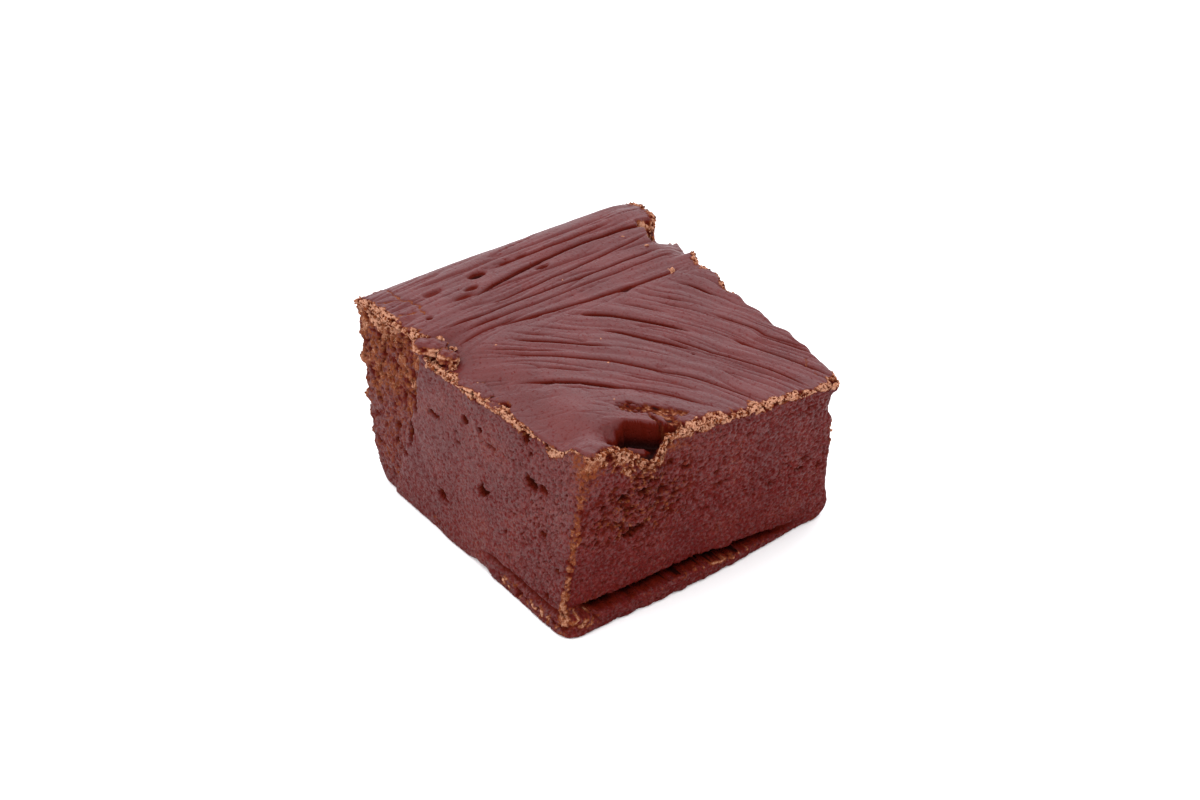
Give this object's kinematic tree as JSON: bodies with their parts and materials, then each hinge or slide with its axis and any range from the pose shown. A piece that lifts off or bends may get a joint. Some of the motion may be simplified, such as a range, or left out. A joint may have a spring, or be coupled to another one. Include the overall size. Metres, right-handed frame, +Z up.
{
  "type": "chocolate fudge",
  "caption": "Square of chocolate fudge, hand cut, with a combed top, crumbly rims and a thin lip at the floor.",
  "frame": {"origin": "centre of the bounding box's base, on the surface that the fudge stands on", "axes": "+Z up; the two knife-cut faces look along -Y (front) and +X (right), and the skin's smooth rim is along -X"},
  "size_m": [0.0498, 0.0472, 0.0288],
  "materials": {
    "fudge": "satin, dense and slightly moist, with tan crumbs on the broken rims"
  },
  "bodies": {
    "root": {"fudge": "fudge"}
  },
  "joints": []
}
